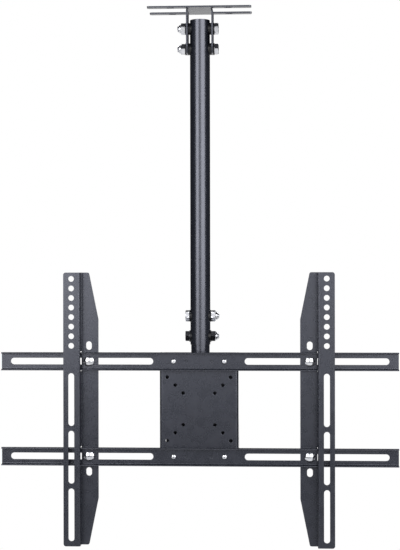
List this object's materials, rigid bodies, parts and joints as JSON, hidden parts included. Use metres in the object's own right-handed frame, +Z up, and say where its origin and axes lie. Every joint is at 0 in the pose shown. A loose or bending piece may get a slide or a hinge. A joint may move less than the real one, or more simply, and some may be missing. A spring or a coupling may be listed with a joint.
{
  "type": "tv ceiling mount",
  "caption": "Ceiling mount for a flat screen: folded ceiling plate, telescoping round pole, tilting plate with slotted rails, and upright folded arms that slide along the rails.",
  "frame": {"origin": "centre of the ceiling plate's upper face, which lies against the ceiling", "axes": "+Z up into the ceiling, -Y towards the viewer and the screen, +X to the viewer's right"},
  "size_m": [0.625, 0.0958, 0.853],
  "materials": {
    "powder_coat": "semi-gloss black powder coat with a fine texture",
    "bright_zinc": "bright zinc plating",
    "black_plastic": "moulded, matt"
  },
  "bodies": {
    "hanger": {"ceiling_plate": "powder_coat", "pole": "powder_coat", "inner_tube": "powder_coat", "tilt_yoke": "powder_coat", "ceiling_bolt_upper": "bright_zinc", "ceiling_nut_upper": "bright_zinc", "height_bolt_upper": "bright_zinc", "height_nut_upper": "bright_zinc", "ceiling_washer_upper_left": "black_plastic", "pole_saddle_upper_left": "black_plastic", "height_saddle_upper_left": "black_plastic", "ceiling_washer_upper_right": "black_plastic", "pole_saddle_upper_right": "black_plastic", "height_saddle_upper_right": "black_plastic", "ceiling_bolt_lower": "bright_zinc", "ceiling_nut_lower": "bright_zinc", "height_bolt_lower": "bright_zinc", "height_nut_lower": "bright_zinc", "ceiling_washer_lower_left": "black_plastic", "pole_saddle_lower_left": "black_plastic", "height_saddle_lower_left": "black_plastic", "ceiling_washer_lower_right": "black_plastic", "pole_saddle_lower_right": "black_plastic", "height_saddle_lower_right": "black_plastic", "pivot_bolt_left": "bright_zinc", "pivot_nut_left": "bright_zinc", "lock_bolt_left": "bright_zinc", "lock_washer_left": "bright_zinc", "lock_nut_left": "bright_zinc", "pivot_bolt_right": "bright_zinc", "pivot_nut_right": "bright_zinc", "lock_bolt_right": "bright_zinc", "lock_washer_right": "bright_zinc", "lock_nut_right": "bright_zinc"},
    "head": {"screen_plate": "powder_coat", "rail_upper": "powder_coat", "rail_lower": "powder_coat", "rail_screw_upper_left": "bright_zinc", "rail_nut_upper_left": "bright_zinc", "rail_screw_upper_right": "bright_zinc", "rail_nut_upper_right": "bright_zinc", "rail_screw_lower_left": "bright_zinc", "rail_nut_lower_left": "bright_zinc", "rail_screw_lower_right": "bright_zinc", "rail_nut_lower_right": "bright_zinc"},
    "left_arm": {"arm_left": "powder_coat", "arm_bolt_left_upper": "bright_zinc", "arm_washer_left_upper": "bright_zinc", "arm_nut_left_upper": "bright_zinc", "arm_bolt_left_lower": "bright_zinc", "arm_washer_left_lower": "bright_zinc", "arm_nut_left_lower": "bright_zinc"},
    "right_arm": {"arm_right": "powder_coat", "arm_bolt_right_upper": "bright_zinc", "arm_washer_right_upper": "bright_zinc", "arm_nut_right_upper": "bright_zinc", "arm_bolt_right_lower": "bright_zinc", "arm_washer_right_lower": "bright_zinc", "arm_nut_right_lower": "bright_zinc"}
  },
  "joints": [
    {"name": "tilt", "type": "hinge", "parent": "hanger", "child": "head", "pos_m": [0, -0.034, -0.563], "axis": [1, 0, 0], "range_deg": [0, 10]},
    {"name": "left_arm_slide", "type": "slide", "parent": "head", "child": "left_arm", "axis": [-1, 0, 0], "range_m": [-0.094, 0.117]},
    {"name": "right_arm_slide", "type": "slide", "parent": "head", "child": "right_arm", "axis": [1, 0, 0], "range_m": [-0.094, 0.117]}
  ]
}
